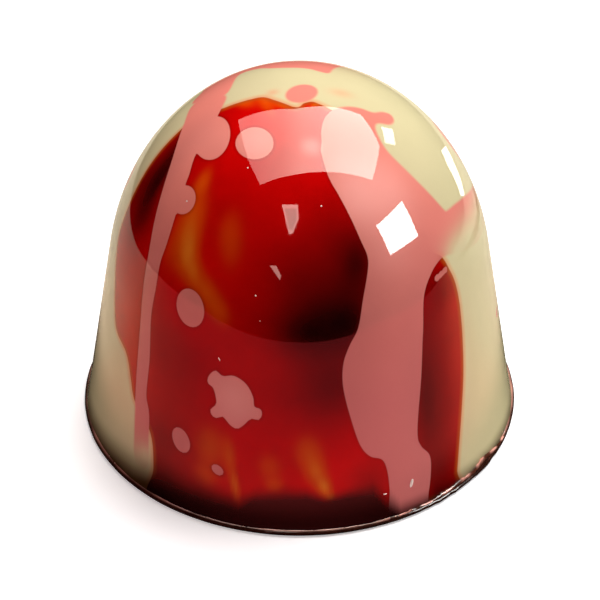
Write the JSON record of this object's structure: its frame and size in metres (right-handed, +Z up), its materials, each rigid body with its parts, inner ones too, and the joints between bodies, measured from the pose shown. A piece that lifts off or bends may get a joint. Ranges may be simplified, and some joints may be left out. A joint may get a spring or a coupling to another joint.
{
  "type": "chocolate praline",
  "caption": "Moulded chocolate praline with a tapered round wall, a tall dome and a thin dark base; glossy ivory coat with a red patch and pink splashes; a sweet to eat in one or two bites",
  "frame": {"origin": "centre of the flat face the praline rests on", "axes": "+Z up along the axis of the round body; -Y faces the side with the red patch"},
  "size_m": [0.029, 0.029, 0.0249],
  "materials": {
    "coloured_coat": "mirror gloss cocoa butter, ivory with red and pink",
    "dark_chocolate": "satin dark chocolate"
  },
  "bodies": {
    "root": {"shell": "coloured_coat", "base_plate": "dark_chocolate"}
  },
  "joints": []
}
